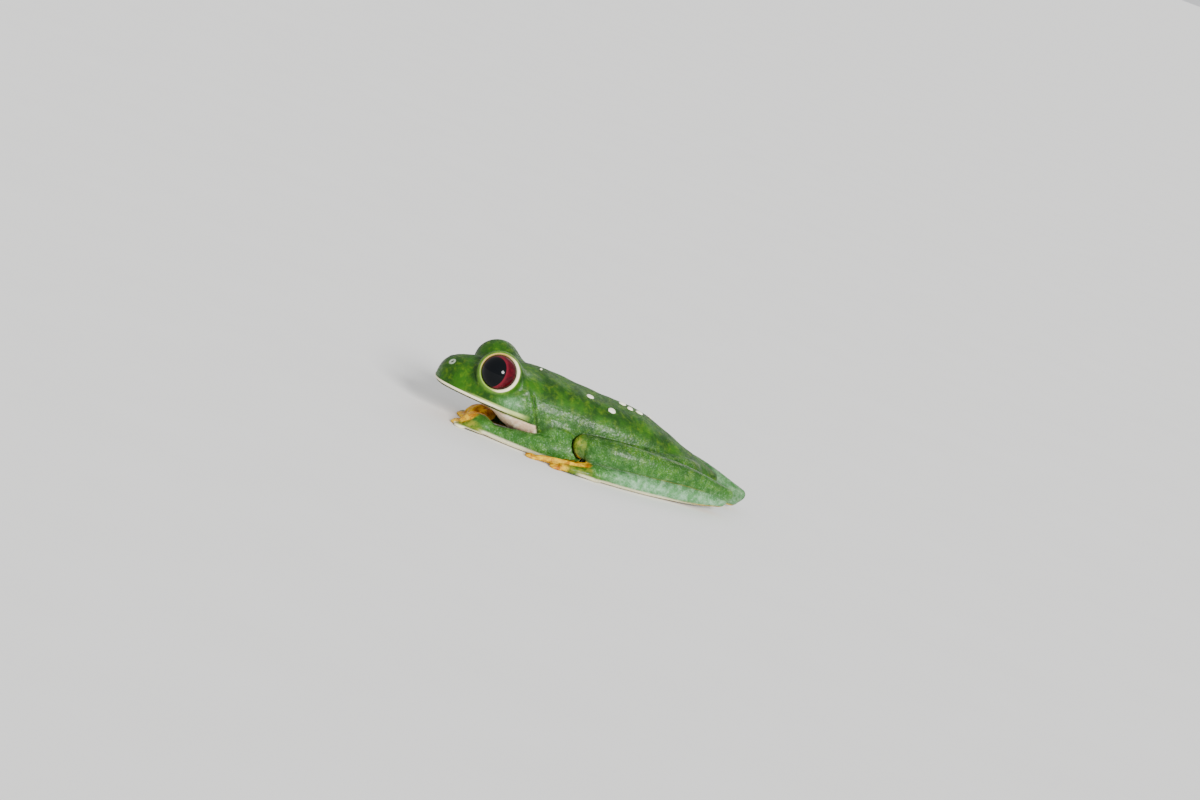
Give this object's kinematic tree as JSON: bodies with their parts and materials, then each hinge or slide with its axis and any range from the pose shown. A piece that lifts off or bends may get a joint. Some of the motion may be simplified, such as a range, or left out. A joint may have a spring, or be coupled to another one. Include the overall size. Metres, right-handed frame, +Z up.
{
  "type": "red-eyed tree frog",
  "caption": "Life-size still model of a red-eyed tree frog at rest, crouched on its belly with its limbs folded against its sides and its eyes open.",
  "frame": {"origin": "bottom centre of the frog's bounding box, on the surface it rests on", "axes": "+Z up, -Y towards the snout, +X to the frog's own left"},
  "size_m": [0.0282, 0.059, 0.0149],
  "materials": {
    "skin": "moist, finely grained frog skin: green above, bluish green on the flanks and limbs, cream below, orange on the inner digits",
    "eye": "clear gloss over a dark red iris with an upright black pupil"
  },
  "bodies": {
    "root": {"head": "skin", "lower_jaw": "skin", "trunk": "skin", "upper_arm_left": "skin", "forearm_left": "skin", "hand_left": "skin", "thigh_left": "skin", "shank_left": "skin", "tarsus_left": "skin", "foot_left": "skin", "upper_arm_right": "skin", "forearm_right": "skin", "hand_right": "skin", "thigh_right": "skin", "shank_right": "skin", "tarsus_right": "skin", "foot_right": "skin", "eye_left": "eye", "eye_right": "eye"}
  },
  "joints": []
}
